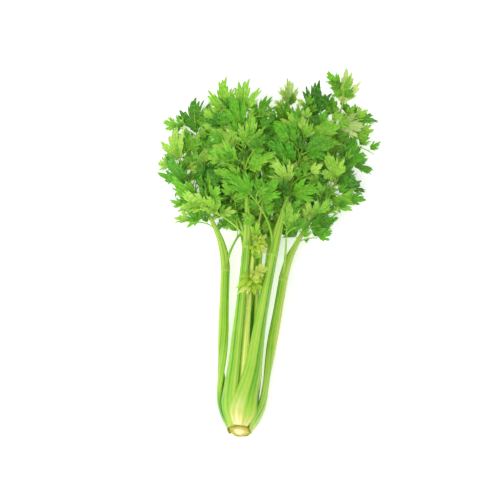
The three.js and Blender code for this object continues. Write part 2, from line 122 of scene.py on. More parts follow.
head = dict(
    axisHeight=30.8, restY=85, ringEnd=65, cutSlope=0.3, cutFade=34, seed=121,
    swingOver=(12, 90), twistOver=(50, 150))
buttRadius = curveThrough([0, 6, 13, 20, 32, 45, 65], [15.4, 17.8, 22, 25.8, 29.8, 31.7, 32.5])
rings = {
    "outer": dict(
        inset=0,
        halfWidth=curveThrough(
            [0, 10, 22, 36, 54, 95, 160, 245], [8.5, 14.4, 18.4, 16.8, 13.4, 10, 7.6, 6.6]),
        depth=curveThrough([0, 10, 24, 50, 95, 245], [1.9, 4.2, 7.4, 8.6, 8, 6.8]),
        thickness=curveThrough([0, 10, 24, 50, 95, 245], [1.5, 2.6, 4.6, 5.8, 5.2, 4.6]),
        start=1.5, ribs=7, ribHeight=0.62,
    ),
    "inner": dict(
        inset=10.2,
        halfWidth=curveThrough([15, 30, 60, 110, 230], [5, 8.6, 7.8, 6.2, 4.8]),
        depth=curveThrough([15, 30, 60, 110, 230], [2.4, 4.4, 5.2, 5, 4.4]),
        thickness=curveThrough([15, 30, 60, 110, 230], [1.8, 3.4, 4, 3.8, 3.4]),
        start=15, ribs=5, ribHeight=0.42,
    ),
    "heart": dict(
        inset=20,
        halfWidth=curveThrough([32, 50, 90, 190], [3, 4.6, 4, 3]),
        depth=curveThrough([32, 50, 90, 190], [2, 3.4, 3.6, 3]),
        thickness=curveThrough([32, 50, 90, 190], [1.6, 2.8, 3, 2.6]),
        start=32, ribs=4, ribHeight=0.3,
    ),
}
# name, ring, angle round the axis (90 is uppermost), swing of it up the butt, twist of the
# stalk about itself, tuck under the neighbours, width against the ring's, slope on leaving
# the butt against the mean slope, joint, tip of the frond, leaf size, greenness above and at
# the foot
stalkRows = [
    ("outer_front", "outer", 88, -16, 0, 0, 1.02, 0.3, (17.5, 233, 60), (46, 414, 86), 1, 0, -0.1),
    ("outer_under", "outer", 284, -12, 0, 0.6, 1, 0.4, (-2, 221, 6), (4, 404, 16), 1, 0.05, 0),
    ("outer_front_left", "outer", 140, -6, 0, 1.4, 0.92, 0.4,
     (-19.5, 240, 58), (-42, 406, 86), 1, -0.02, 0.16),
    ("outer_right", "outer", 10, -19, 60, 0.4, 0.9, 1.1, (36, 208, 32), (94, 360, 50), 1, -0.12, 0.14),
    ("outer_left", "outer", 195, 0, -72, -4.6, 0.9, 1.1, (-44, 213, 28), (-116, 348, 46), 1, -0.08, 0.34),
    ("inner_front", "inner", 102, 0, 0, 0, 0.9, 0.4, (-8.5, 161, 46), (-4, 300, 76), 0.5, -0.32, -0.1),
    ("inner_right", "inner", 30, 0, 0, 0, 1, 0.4, (13, 227, 42), (86, 444, 66), 0.9, -0.1, 0),
    ("inner_left", "inner", 165, 0, 0, 0, 1, 0.4, (-14, 231, 38), (-66, 414, 62), 0.9, -0.1, 0),
    ("inner_under_left", "inner", 236, 0, 0, 0, 1, 0.4, (-16, 217, 20), (-102, 396, 24), 0.9, -0.05, 0),
    ("inner_under_right", "inner", 306, 0, 0, 0, 1, 0.4, (13, 219, 19), (104, 410, 26), 0.9, -0.05, 0),
    ("heart_right", "heart", 20, 0, 0, 0, 1, 0.4, (3, 185, 32), (18, 436, 58), 0.75, -0.25, 0),
    ("heart_left", "heart", 200, 0, 0, 0, 1, 0.4, (-5, 175, 30), (-22, 412, 50), 0.75, -0.25, 0),
]
stalkWords = [
    "name", "ring", "angle", "swing", "twist", "tuck", "wide", "leave", "joint", "tip", "leaf", "green",
    "foot",
]
stalks = [dict(zip(stalkWords, row)) for row in stalkRows]


def outwards(stalk, y, twist=0):  # from the axis through the stalk: a turn in the x-z plane
    angle = stalk["angle"] + stalk["swing"] * smoothstep(y, *head["swingOver"])
    angle = np.radians(angle + twist * smoothstep(y, *head["twistOver"]))
    return np.stack([np.cos(angle), 0 * angle, np.sin(angle)], axis=-1)


def facing(stalk, y):  # the way its back faces: outwards in the butt, and then twisted
    return outwards(stalk, y, stalk["twist"])


def stalkCentre(stalk, y):  # on the butt's ring up to ringEnd, then a cubic to the joint
    y = np.asarray(y, float)
    ring = rings[stalk["ring"]]
    onRing = np.minimum(y, head["ringEnd"])
    tuck = stalk["tuck"] * smoothstep(onRing, 0, head["ringEnd"])
    radius = buttRadius(onRing) - (ring["inset"] + tuck + ring["depth"](onRing) / 2)
    p = outwards(stalk, y) * radius[..., None]
    p[..., 1] = y
    p[..., 2] += head["axisHeight"]
    joint, tip = stalk["joint"], stalk["tip"]
    span = joint[1] - head["ringEnd"]
    t = (y - head["ringEnd"]) / span
    for axis in (0, 2):
        mean = (joint[axis] - p[..., axis]) / span
        endSlope = (1.5 - 0.8 * stalk["leave"]) * mean
        endSlope = endSlope + 0.05 * (tip[axis] - joint[axis]) / (tip[1] - joint[1])
        bent = hermite(p[..., axis], joint[axis], stalk["leave"] * mean, endSlope, span, t)
        p[..., axis] = np.where(y <= head["ringEnd"], p[..., axis], bent)
    return p


def stalkFrame(stalk, y):  # directions along the stalk, out of its back and sideways
    y = np.asarray(y, float)
    along = unit(stalkCentre(stalk, y + 0.5) - stalkCentre(stalk, y - 0.5))
    out, side = frameAcross(along, facing(stalk, y))
    return along, out, side


def jointHalfWidth(stalk):
    return float(rings[stalk["ring"]]["halfWidth"](stalk["joint"][1]))


def bezier(points, t):  # a quadratic or cubic Bezier curve through its control points
    t = np.asarray(t, float)[..., None]
    if len(points) == 3:
        weights = [(1 - t) ** 2, 2 * (1 - t) * t, t ** 2]
    else:
        weights = [(1 - t) ** 3, 3 * (1 - t) ** 2 * t, 3 * (1 - t) * t ** 2, t ** 3]
    return sum(w * p for w, p in zip(weights, points))


def tangent(points, t):
    t = np.asarray(t, float)
    return unit(bezier(points, np.minimum(t + 1e-4, 1)) - bezier(points, np.maximum(t - 1e-4, 0)))


def curveLength(points):
    steps = np.diff(bezier(points, np.linspace(0, 1, 201)), axis=0)
    return float(np.linalg.norm(steps, axis=1).sum())


def frondFrame(stalk):  # joint, tip, direction between them, upper side and length
    joint, tip = np.array(stalk["joint"], float), np.array(stalk["tip"], float)
    along = unit(tip - joint)
    way = outwards(stalk, joint[1]) * 0.55 + np.array([0, 0, 0.85])
    face = frameAcross(along, way)[0]
    return joint, tip, along, face, float(np.linalg.norm(tip - joint))


def rachisCurve(stalk):  # the frond's main rib: a cubic Bezier that leaves the joint straight on
    joint, tip, _, _, length = frondFrame(stalk)
    start = stalkFrame(stalk, joint[1])[0]
    bulge = outwards(stalk, joint[1]) * 0.03 * length
    return [joint, joint + start * 0.4 * length, mix(joint, tip, 0.7) + bulge, tip]


def rachisRadius(stalk, t):
    return mix(0.56 * jointHalfWidth(stalk), 1.1, np.asarray(t) ** 0.75)


def branchRadius(stalk, t):
    return mix(2.1, 0.95, t) * math.sqrt(stalk["leaf"])


frondPlan = dict(
    footLength=74, leafStart=54, branchReach=0.4, branchAngle=30, branchRise=1, branchSwing=28,
    branchLift=60, branchRoom=2.4, branchLeaf=0.8, lowest=5)
# each leaflet's place along its rib, side, angle off the rib and length
onBranch = [
    (0.42, 1, 48, 28), (0.5, -1, 48, 28), (0.7, 1, 48, 32), (0.78, -1, 48, 32), (0.9, 1, 44, 34),
    (1, 0, 0, 42),
]
onRachis = [
    (0.26, 1, 42, 30), (0.32, -1, 42, 30), (0.42, 1, 48, 36), (0.47, -1, 48, 36), (0.57, 1, 52, 42),
    (0.62, -1, 52, 42), (0.72, 1, 50, 44), (0.77, -1, 50, 44), (0.87, 1, 46, 40), (0.91, -1, 46, 40),
    (1, 0, 0, 50),
]


def footScale(distance):  # how the stalk's crescent narrows above the joint
    return mix(1, 0.5, smoothstep(distance, 0, frondPlan["footLength"]))


def branchCurve(stalk, side, swing, lift):  # a quadratic Bezier away from the rachis
    joint, _, along, face, length = frondFrame(stalk)
    start, _, across = stalkFrame(stalk, joint[1])
    reach = length * frondPlan["branchReach"]
    away = turned(along, face, -side * (frondPlan["branchAngle"] + swing))
    away[1] = max(away[1], frondPlan["branchRise"])
    away = unit(away)
    root = joint + start * 3 + across * side * 0.5 * jointHalfWidth(stalk)
    end = root + away * reach + face * lift
    end[2] = max(end[2], frondPlan["lowest"])
    return [root, root + start * reach * 0.5, end]


# a leaflet's room: how high it lies, how often it is tried and turned (yaw, pitch, roll), its
# thickness against its length, its own short stalk, and the least and the span of each bend
leafRoom = dict(
    floor=0.45, ceiling=110, tableBend=7, leastRise=0.1, tries=40, step=0.13, share=0.07, spare=0.4,
    shrinks=(1, 0.82, 0.66), turns=(90, 80, 100), stalkShare=0.22,
    bends=dict(fold=(0.12, 0.3), arch=(0.05, 0.3), wave=(0.06, 0.08)))
ribRoom = dict(fromY=100, stalkStep=6, stalkEdge=0.62, ribStep=5, footEdge=0.6)
plainLobes = curveThrough([0, 10, 16, 23, 33, 46, 68], [1, 0.8, 0.86, 0.46, 0.86, 0.68, 0.3])


def leafletSamples():  # a square grid of points inside the plain lobed outline
    step = leafRoom["step"]
    found = [(-0.13, 0), (-0.04, 0)]
    u = 0.08
    while u < 1:
        v = -6 * step
        while v < 0.8:
            if math.hypot(u, v) < plainLobes(math.degrees(math.atan2(abs(v), u))):
                found.append((u, v))
            v += step
        u += step
    return np.array(found)


samples = leafletSamples()
balls = dict(centre=np.zeros((0, 3)), radius=np.zeros(0), owner=np.zeros(0, int))


def claim(points, radius, owner):  # balls fill these places; radius is one number or many
    balls["centre"] = np.concatenate([balls["centre"], points])
    balls["radius"] = np.concatenate([balls["radius"], np.broadcast_to(radius, len(points))])
    balls["owner"] = np.concatenate([balls["owner"], np.full(len(points), owner)])


def ballsNear(root, reach, owner, own):  # but not the owner's, within the distance own
    distance = np.linalg.norm(balls["centre"] - root, axis=1)
    near = (distance < reach + balls["radius"]) & ((balls["owner"] != owner) | (distance > own))
    return balls["centre"][near], balls["radius"][near]


def room(points, radius, near):  # the smallest gap left round the points
    if not len(near[1]):
        return math.inf
    gaps = np.linalg.norm(points[:, None] - near[0][None], axis=2) - near[1][None]
    return float(gaps.min()) - radius


def leafletHeight(blade, u, v):
    # over its plane: folded up off the midrib, arched down to the tip, waved round the edge
    wave = blade["wave"] * np.sin(3.4 * np.arctan2(v, u) + blade["phase"]) * (u * u + v * v)
    return blade["length"] * (blade["fold"] * np.abs(v) - blade["arch"] * u * np.abs(u) + wave)


def leafletPoints(blade, u, v, height):
    lengthwise = blade["along"] * (u * blade["length"])[..., None]
    sideways = blade["across"] * (v * blade["length"])[..., None]
    return blade["base"] + lengthwise + sideways + blade["face"] * height[..., None]


def fitLeaflet(root, along, face, length, lowest, owner, **how):
    # turns a leaflet about until it finds room, at less size if it must; `how` may change the rules
    rules = {**leafRoom, **how}
    share, tries, draw = rules["share"], rules["tries"], rules["draw"]
    near = ballsNear(root, 1.4 * length, owner, 0.3 * length)
    for shrink in leafRoom["shrinks"]:
        for k in range(tries):
            spread = min(1, 0.3 + k / 12)  # the turns grow from try to try
            yaw, pitch, roll = [(draw() - 0.5) * most * spread for most in leafRoom["turns"]]
            blade = {bend: least + span * draw() for bend, (least, span) in leafRoom["bends"].items()}
            blade["phase"] = 2 * math.pi * draw()
            heading = turned(along, face, yaw)
            across = unit(np.cross(face, heading))
            heading = turned(heading, across, pitch)
            if heading[1] < rules["leastRise"]:
                continue
            normal = turned(np.cross(heading, across), heading, roll)
            size = length * shrink
            blade.update(along=heading, face=normal, across=np.cross(normal, heading), length=size)
            blade["base"] = root + heading * leafRoom["stalkShare"] * size
            u, v = samples[:, 0], samples[:, 1]
            points = leafletPoints(blade, u, v, leafletHeight(blade, u, v))
            radius = share * size + leafRoom["spare"]
            if points[:, 2].min() < -rules["tableBend"] or points[:, 2].max() > rules["ceiling"]:
                continue
            if "box" in rules and np.any((points < rules["box"][0]) | (points > rules["box"][1])):
                continue
            if points[:, 1].min() < lowest or room(points, radius, near) < 0:
                continue
            points[:, 2] = np.maximum(points[:, 2], leafRoom["floor"])
            claim(points, radius, owner)
            return blade
    return None


def claimRibs(frond):  # the stalk, the crescent above its joint and the main rib
    stalk, owner, rachis = frond["stalk"], frond["owner"], frond["rachis"]
    ring, jointY = rings[stalk["ring"]], stalk["joint"][1]
    for y in range(ribRoom["fromY"], math.floor(jointY + 6) + 1, ribRoom["stalkStep"]):
        side = stalkFrame(stalk, min(y, jointY))[2]
        shift = np.array([-1, 0, 1]) * ribRoom["stalkEdge"] * ring["halfWidth"](y) * stalk["wide"]
        claim(stalkCentre(stalk, y) + side * shift[:, None], ring["depth"](y) / 2 + 1, owner)
    count = round(curveLength(rachis) / ribRoom["ribStep"])
    shares = np.arange(count + 1) / count
    foot = shares[np.arange(count + 1) * ribRoom["ribStep"] < frondPlan["footLength"]]
    scale = footScale(ribRoom["ribStep"] * np.arange(len(foot)))
    side = frameAcross(tangent(rachis, foot), facing(stalk, jointY))[1]
    for edge in (-ribRoom["footEdge"], ribRoom["footEdge"]):
        shift = side * (edge * scale * jointHalfWidth(stalk) * stalk["wide"])[:, None]
        claim(bezier(rachis, foot) + shift, scale * ring["depth"](jointY) / 2 + 0.6, owner)
    claim(bezier(rachis, shares), rachisRadius(stalk, shares) + 0.4, owner)


def growBranches(frond):  # the first curve with ample room on each side, or else the freest
    stalk, draw, thick = frond["stalk"], frond["draw"], frondPlan["branchRoom"]
    for side in (1, -1) if stalk["leaf"] >= frondPlan["branchLeaf"] else ():
        best = None
        for _ in range(leafRoom["tries"]):
            swing = (draw() - 0.5) * frondPlan["branchSwing"]
            curve = branchCurve(stalk, side, swing, (draw() - 0.5) * frondPlan["branchLift"])
            reach = np.linalg.norm(curve[0] - curve[2])
            points = bezier(curve, (np.arange(20) + 1) / 20)
            free = room(points, thick, ballsNear(curve[0], reach + 5, frond["owner"], 24))
            if best is None or free > best["free"]:
                best = dict(curve=curve, points=points, free=free)
            if free > 2:
                break
        if best["free"] >= 0:
            claim(best["points"], thick, frond["owner"])
            frond["branches"].append(best["curve"])


def layOutFronds():  # main ribs first, then side branches, then leaflets, each where there is room
    fronds = []
    for owner, stalk in enumerate(stalks):
        frond = dict(stalk=stalk, owner=owner, draw=seededDraws(owner * 7919 + head["seed"]))
        frond.update(rachis=rachisCurve(stalk), branches=[], blades=[], sprigs=[])
        fronds.append(frond)
    for frond in fronds:
        claimRibs(frond)
    for frond in fronds:
        growBranches(frond)
    for slot in reversed(onRachis):
        for frond in fronds:
            hang(frond, slot, frond["rachis"])
    for slot in reversed(onBranch):
        for frond in fronds:
            for branch in frond["branches"]:
                hang(frond, slot, branch)
    return fronds


def hang(frond, slot, curve, **how):  # a leaflet on a rib, if there is room for it
    at, side, angle, length = slot
    stalk = frond["stalk"]
    heading = tangent(curve, min(at, 0.999))
    upright = frameAcross(heading, frondFrame(stalk)[3])[0]
    along = turned(heading, upright, -side * angle)
    root = bezier(curve, at) + heading * (0 if side else -2)
    lowest = stalk["joint"][1] + frondPlan["leafStart"] * stalk["leaf"]
    how.setdefault("draw", frond["draw"])
    blade = fitLeaflet(root, along, upright, length * stalk["leaf"], lowest, frond["owner"], **how)
    if blade:
        blade["curve"] = curve
        frond["blades"].append(blade)


# sprigs of small leaflets all along the ribs, but not over the feet of the two uppermost
# fronds, and two tufts of young leaflets on short ribs over the inner front stalk's frond
sprigs = dict(
    seed=5, onRachis=17, onBranch=9, span=(0.2, 0.99), reach=(24, 42), spread=(20, 70), lift=(-0.5, 0.9),
    height=(5, 104), bend=0.45, length=(15, 27), share=0.02, tries=9, crowding=0.42, fewest=2,
    leaflets=[
        (0.5, 1, 50, 0.8), (0.56, -1, 50, 0.8), (0.8, 1, 42, 0.9), (0.86, -1, 42, 0.9), (1, 0, 0, 1.15),
    ],
    clear=(0, 2), clearShare=0.3, clearRises=(8, 18, 28, 38), clearRadius=8, past=(9, 11, 0),
)
tufts = dict(
    owner=5, seed=11, share=-0.12, tries=14, aside=(-0.55, 1.3), ahead=(-0.7, 0.7), up=(-0.1, 0.5),
    face=(0, -0.2, 1), shift=(2, 1), stem=(9, 14), stemBend=4,
    clumps=[
        dict(span=(0.21, 0.29), count=17, length=(13, 19)),
        dict(span=(0.52, 0.6), count=9, length=(10, 14)),
    ],
    look=dict(young=1, narrow=0.95, fold=0.5, arch=0.6, wave=0.3),
)


def sprigCurve(frond, rib, at, side, draw):  # a short quadratic Bezier off a rib, bent up or down
    root, heading = bezier(rib, at), tangent(rib, at)
    upright = frameAcross(heading, frondFrame(frond["stalk"])[3])[0]
    away = turned(heading, upright, -side * mix(*sprigs["spread"], draw()))
    away = unit(away + upright * mix(*sprigs["lift"], draw()))
    reach = mix(*sprigs["reach"], draw()) * math.sqrt(frond["stalk"]["leaf"])
    end = root + away * reach
    end[2] = np.clip(end[2], *sprigs["height"])
    return [root, root + heading * reach * sprigs["bend"], end]


def clearFeet(fronds):  # balls over the feet of the uppermost fronds keep the sprigs away
    for frond in fronds:
        if frond["owner"] in sprigs["clear"]:
            foot = bezier(frond["rachis"], np.linspace(0, sprigs["clearShare"], 12))
            for rise in sprigs["clearRises"]:
                claim(foot + [0, 0, rise], sprigs["clearRadius"], -1)


def addSprigs(fronds, box):  # a sprig that finds room for too few leaflets is dropped
    draw = seededDraws(sprigs["seed"])
    rules = dict(draw=draw, share=sprigs["share"], tries=sprigs["tries"], box=box)
    for frond in fronds:
        ribs = [(frond["rachis"], sprigs["onRachis"])] if frond["owner"] != tufts["owner"] else []
        ribs += [(branch, sprigs["onBranch"]) for branch in frond["branches"]]
        for rib, count in ribs:
            for k in range(count):
                foot = mix(*sprigs["span"], (k + draw()) / count)
                curve = sprigCurve(frond, rib, foot, 1 if k % 2 else -1, draw)
                size = mix(*sprigs["length"], draw())
                before = len(frond["blades"])
                for at, side, angle, share in sprigs["leaflets"]:
                    hang(frond, (at, side, angle, share * size), curve, **rules)
                if len(frond["blades"]) - before < sprigs["fewest"]:
                    del frond["blades"][before:]
                else:
                    frond["sprigs"].append(curve)


def addTufts(fronds, box):  # young leaflets stand out to the sides and up, each on a short rib
    draw = seededDraws(tufts["seed"])
    frond = fronds[tufts["owner"]]
    rules = dict(draw=draw, share=tufts["share"], tries=tufts["tries"], leastRise=-1, box=box)
    for clump in tufts["clumps"]:
        for k in range(clump["count"]):
            along = unit(np.array([mix(*tufts[way], draw()) for way in ("aside", "ahead", "up")]))
            face = frameAcross(along, np.array(tufts["face"]))[0]
            foot = bezier(frond["rachis"], mix(*clump["span"], (k + draw()) / clump["count"]))
            root = foot + [*tufts["shift"], mix(*tufts["stem"], draw())]
            length = mix(*clump["length"], draw())
            blade = fitLeaflet(root, along, face, length, 0, frond["owner"], **rules)
            if blade:
                blade.update(curve=frond["rachis"], **tufts["look"])
                frond["blades"].append(blade)
                frond["sprigs"].append([foot, foot + [0, 0, tufts["stemBend"]], root])


fronds = layOutFronds()
print("leaflets:", [len(frond["blades"]) for frond in fronds])
boxShift = [[1, head["restY"] + 1, -leafRoom["tableBend"]], [-1, head["restY"] - 1, -1]]
leafBox = np.array(cadBox) * 1000 + np.array(boxShift)  # the solids' box, 1 mm in
balls["radius"] *= sprigs["crowding"]
addTufts(fronds, leafBox)
clearFeet(fronds)
past = np.array(sprigs["past"])
addSprigs(fronds, leafBox + np.array([-past, past]))
print("with the small ones:", [len(frond["blades"]) for frond in fronds])


def lumps(points, size, seed):  # soft bumps from -1 to 1: a mean of sine waves in random directions
    waves = np.random.default_rng(seed).normal(size=(7, 4))
    phase = points @ (unit(waves[:, :3]) * 2 * math.pi / size).T + waves[:, 3] * 3
    return np.sin(phase).mean(axis=-1) * 1.6


def pressed(points, floor=0.3, softness=0.8):  # the table pushes up whatever would lie below it
    z = points[..., 2]
    points[..., 2] = floor + softness * np.logaddexp(0, (z - floor) / softness)
    return points


def part(points, quads, triangles, **marks):  # marks are values per point for the materials
    count = len(points)
    values = {name: np.broadcast_to(np.asarray(v, float), count).copy() for name, v in marks.items()}
    return dict(points=points, quads=quads, triangles=triangles, marks=values)


def joined(parts):  # several parts as one mesh
    offsets = np.cumsum([0] + [len(p["points"]) for p in parts[:-1]])
    whole = dict(points=np.concatenate([p["points"] for p in parts]), marks={})
    for kind in ("quads", "triangles"):
        whole[kind] = np.concatenate([p[kind] + o for p, o in zip(parts, offsets)])
    for name in parts[0]["marks"]:
        whole["marks"][name] = np.concatenate([p["marks"][name] for p in parts])
    return whole


def tube(grid, **marks):
    # rows of points round a path, clockwise as seen along it; a middle point closes each end
    rows, columns = grid.shape[:2]
    a = np.arange((rows - 1) * columns).reshape(rows - 1, columns)
    b = np.roll(a, -1, axis=1)
    quads = np.stack([a, b, b + columns, a + columns], axis=-1).reshape(-1, 4)
    first, last = np.arange(columns), np.arange(columns) + (rows - 1) * columns
    start, end = np.full(columns, rows * columns), np.full(columns, rows * columns + 1)
    caps = [np.stack([start, np.roll(first, -1), first], axis=-1)]
    caps.append(np.stack([end, last, np.roll(last, -1)], axis=-1))
    points = np.concatenate([grid.reshape(-1, 3), [grid[0].mean(axis=0), grid[-1].mean(axis=0)]])
    full = {}
    for name, value in marks.items():
        value = np.broadcast_to(np.asarray(value, float), (rows, columns))
        full[name] = np.concatenate([value.ravel(), [value[0].mean(), value[-1].mean()]])
    return part(points, quads, np.concatenate(caps), **full)


def inFrame(points):  # the cut end leans back; the origin goes under the middle of the flat spot
    y = points[:, 1]
    lean = head["cutSlope"] * (points[:, 2] - head["axisHeight"]) * (1 - smoothstep(y, 0, head["cutFade"]))
    moved = points + np.stack([0 * y, lean - head["restY"], 0 * y], axis=-1)
    return moved * 0.001


def makePiece(name, whole, material, node):
    points = inFrame(whole["points"])
    loops = np.concatenate([whole["quads"].ravel(), whole["triangles"].ravel()])
    sizes = np.concatenate([np.full(len(whole["quads"]), 4), np.full(len(whole["triangles"]), 3)])
    mesh = bpy.data.meshes.new(name)
    mesh.vertices.add(len(points))
    mesh.vertices.foreach_set("co", points.ravel())
    mesh.loops.add(len(loops))
    mesh.loops.foreach_set("vertex_index", loops.astype(np.int32))
    mesh.polygons.add(len(sizes))
    mesh.polygons.foreach_set("loop_start", (np.cumsum(sizes) - sizes).astype(np.int32))
    mesh.update(calc_edges=True)
    mesh.shade_smooth()
    for mark, values in whole["marks"].items():
        mesh.attributes.new(mark, "FLOAT", "POINT").data.foreach_set("value", values)
    mesh.materials.append(material)
    piece = bpy.data.objects.new(name, mesh)
    bpy.context.scene.collection.objects.link(piece)
    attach(piece, "root")
    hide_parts(node)
    return piece


def colour(code):  # a hex colour as the linear values that a shader works in
    parts = [int(code[i:i + 2], 16) / 255 for i in (0, 2, 4)]
    return [c / 12.92 if c <= 0.04045 else ((c + 0.055) / 1.055) ** 2.4 for c in parts] + [1]


def addNode(tree, kind, inputs=None, **settings):
    node = tree.nodes.new("ShaderNode" + kind)
    for name, value in settings.items():
        setattr(node, name, value)
    for socket, value in (inputs or {}).items():
        if isinstance(value, bpy.types.NodeSocket):
            tree.links.new(value, node.inputs[socket])
        else:
            node.inputs[socket].default_value = value
    return node


def mark(tree, name):  # a value that the mesh carries at its points
    return addNode(tree, "Attribute", attribute_name=name).outputs["Fac"]


def maths(tree, operation, a, b=0.0):
    return addNode(tree, "Math", {0: a, 1: b}, operation=operation).outputs[0]


def noise(tree, where, scale, detail, roughness):
    inputs = {"Vector": where, "Scale": scale, "Detail": detail, "Roughness": roughness}
    return addNode(tree, "TexNoise", inputs).outputs[0]


def about(tree, value, middle, span):  # a value from 0 to 1, stretched to a span about a middle
    inputs = {0: value, 1: span, 2: middle - span / 2}
    return addNode(tree, "Math", inputs, operation="MULTIPLY_ADD").outputs[0]


def blendColour(tree, amount, a, b):
    return addNode(tree, "Mix", {0: amount, 6: a, 7: b}, data_type="RGBA").outputs[2]


def ramp(tree, value, stops):  # stops are (place, hex colour)
    node = addNode(tree, "ValToRGB", {0: value})
    for place, code in stops[1:-1]:
        node.color_ramp.elements.new(place)
    for element, (place, code) in zip(node.color_ramp.elements, stops):
        element.position = place
        element.color = colour(code)
    return node.outputs[0]


fibre = dict(stretch=1.1, streakScale=9, cloudScale=38)


def makeFibreGroup():  # fine streaks that run lengthwise, from marks for along and across, and clouds
    tree = bpy.data.node_groups.new("fibres", "ShaderNodeTree")
    for label, value in (("Along", 0), ("Across", 0), ("Fineness", 1)):
        socket = tree.interface.new_socket(label, in_out="INPUT", socket_type="NodeSocketFloat")
        socket.default_value = value
    for label in ("Streak", "Cloud"):
        tree.interface.new_socket(label, in_out="OUTPUT", socket_type="NodeSocketFloat")
    given, wanted = tree.nodes.new("NodeGroupInput").outputs, tree.nodes.new("NodeGroupOutput").inputs
    fine = maths(tree, "MULTIPLY", given["Across"], given["Fineness"])
    long = maths(tree, "MULTIPLY", given["Along"], fibre["stretch"])
    streakAt = addNode(tree, "CombineXYZ", {0: fine, 1: long}).outputs[0]
    place = addNode(tree, "TexCoord").outputs["Object"]
    tree.links.new(noise(tree, streakAt, fibre["streakScale"], 3, 0.6), wanted["Streak"])
    tree.links.new(noise(tree, place, fibre["cloudScale"], 2, 0.5), wanted["Cloud"])
    return tree


fibreGroup = makeFibreGroup()


def newMaterial(name):
    material = bpy.data.materials.new(name)
    material.use_nodes = True
    tree = material.node_tree
    return material, tree, tree.nodes["Principled BSDF"]


def finishSurface(tree, shader, base, rough, height, finish):  # the links and numbers that all finishes share
    tree.links.new(base, shader.inputs["Base Color"])
    tree.links.new(rough, shader.inputs["Roughness"])
    relief = {"Height": height, "Strength": finish["bump"], "Distance": finish["bumpDepth"]}
    tree.links.new(addNode(tree, "Bump", relief).outputs[0], shader.inputs["Normal"])
    shader.inputs["Specular IOR Level"].default_value = finish["gloss"]
    if "bleed" in finish:
        shader.inputs["Subsurface Weight"].default_value = finish["bleed"]
        shader.inputs["Subsurface Radius"].default_value = finish["bleedColour"]
        shader.inputs["Subsurface Scale"].default_value = finish["bleedDepth"]


skin = dict(
    outer=[
        (0, "F5EEBC"), (0.14, "E6E292"), (0.28, "CCD06C"), (0.42, "B0CC54"), (0.56, "A0CC3E"),
        (0.7, "84BE2A"), (0.84, "58A01C"), (1, "286A0C"),
    ],
    inner=[(0, "F8F6B4"), (0.2, "EFF68E"), (0.42, "D6EE66"), (0.6, "B2DC48"), (0.8, "7EBE2C"), (1, "3C8A10")],
    cut=[(0.3, "64792A"), (0.44, "929440"), (0.58, "BAAE56"), (0.76, "E0D48A")],
    fineness=6.5, streak=0.46, cloud=0.2, roughness=0.36, roughnessSpan=0.3, cutRoughness=0.35,
    bump=0.3, bumpDepth=0.0004, gloss=0.45, bleed=0.4, bleedColour=(0.7, 1, 0.3), bleedDepth=0.003,
)


def makeSkin(ringName):  # the juicy skin of a stalk, from cream at its foot to green
    material, tree, shader = newMaterial(ringName + " skin")
    fibres = addNode(tree, "Group", {"Fineness": skin["fineness"]}, node_tree=fibreGroup)
    tree.links.new(mark(tree, "rise"), fibres.inputs["Along"])
    tree.links.new(mark(tree, "across"), fibres.inputs["Across"])
    grain, clouds, onCut = fibres.outputs["Streak"], fibres.outputs["Cloud"], mark(tree, "cut")
    streak = about(tree, grain, 0, skin["streak"])
    tone = maths(tree, "ADD", mark(tree, "tone"), streak)
    tone = maths(tree, "ADD", tone, about(tree, clouds, 0, skin["cloud"]))
    base = ramp(tree, tone, skin["outer" if ringName == "outer" else "inner"])
    cut = ramp(tree, maths(tree, "ADD", clouds, streak), skin["cut"])
    rough = about(tree, grain, skin["roughness"], skin["roughnessSpan"])
    rough = maths(tree, "ADD", rough, maths(tree, "MULTIPLY", onCut, skin["cutRoughness"]))
    finishSurface(tree, shader, blendColour(tree, onCut, base, cut), rough, grain, skin)
    return material


leafColours = {
    "outer": [(0, "165203"), (0.25, "34880A"), (0.5, "58B412"), (0.75, "82CE2C"), (1, "B4E65A")],
    "inner": [(0, "1E6204"), (0.25, "40960C"), (0.5, "66BE1A"), (0.75, "90D634"), (1, "BEEA64")],
    "heart": [(0, "327A04"), (0.25, "5CAC10"), (0.5, "82CA20"), (0.75, "A8DC3C"), (1, "CEEE70")],
    "young": [(0, "86C612"), (0.5, "B2DE2E"), (1, "DCF26E")],
}
leafFinish = dict(
    mottle=0.8, mottleScale=240, vein="C4E880", veinAmount=0.6, sideShare=0.6, under="DDF59C",
    underAmount=0.76, roughness=0.44, roughnessSpan=0.3, bump=0.7, bumpDepth=0.0018, gloss=0.25,
    bleed=0.25, bleedColour=(0.6, 1, 0.25), bleedDepth=0.002)


